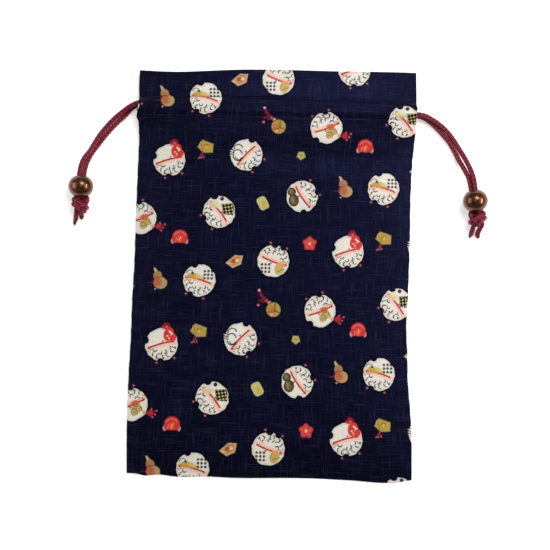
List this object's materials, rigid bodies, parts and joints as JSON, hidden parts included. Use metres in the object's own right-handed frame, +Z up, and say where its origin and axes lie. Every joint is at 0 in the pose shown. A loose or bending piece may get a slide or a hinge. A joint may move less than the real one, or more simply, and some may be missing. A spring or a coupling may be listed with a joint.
{
  "type": "kinchaku drawstring pouch",
  "caption": "Flat cotton drawstring pouch lying on its back, with a stitched casing, braided drawcords that leave at the side slits, and a bead and knot on each pair of cord ends.",
  "frame": {"origin": "under the middle of the pouch, on the surface that it lies on; the beads and the free cords lie beside it", "axes": "+Z up out of the front panel, +Y from the bottom seam to the mouth, +X to the right as the front is looked at"},
  "size_m": [0.2689, 0.262, 0.0165],
  "materials": {
    "navy_cotton": "matt slub weave, printed with cream discs and small ornaments",
    "burgundy_braid": "silky round braid",
    "bronze_bead": "glossy, bronze coloured"
  },
  "bodies": {
    "pouch": {"front_panel": "navy_cotton", "back_panel": "navy_cotton", "left_drawcord": "burgundy_braid", "right_drawcord": "burgundy_braid"},
    "left_bead": {"left_bead": "bronze_bead"},
    "right_bead": {"right_bead": "bronze_bead"}
  },
  "joints": [
    {"name": "left_bead_slide", "type": "slide", "parent": "pouch", "child": "left_bead", "axis": [0.04, 0.9992, 0], "range_m": [0, 0.008]},
    {"name": "right_bead_slide", "type": "slide", "parent": "pouch", "child": "right_bead", "axis": [-0.2, 0.9798, 0], "range_m": [0, 0.008]}
  ]
}
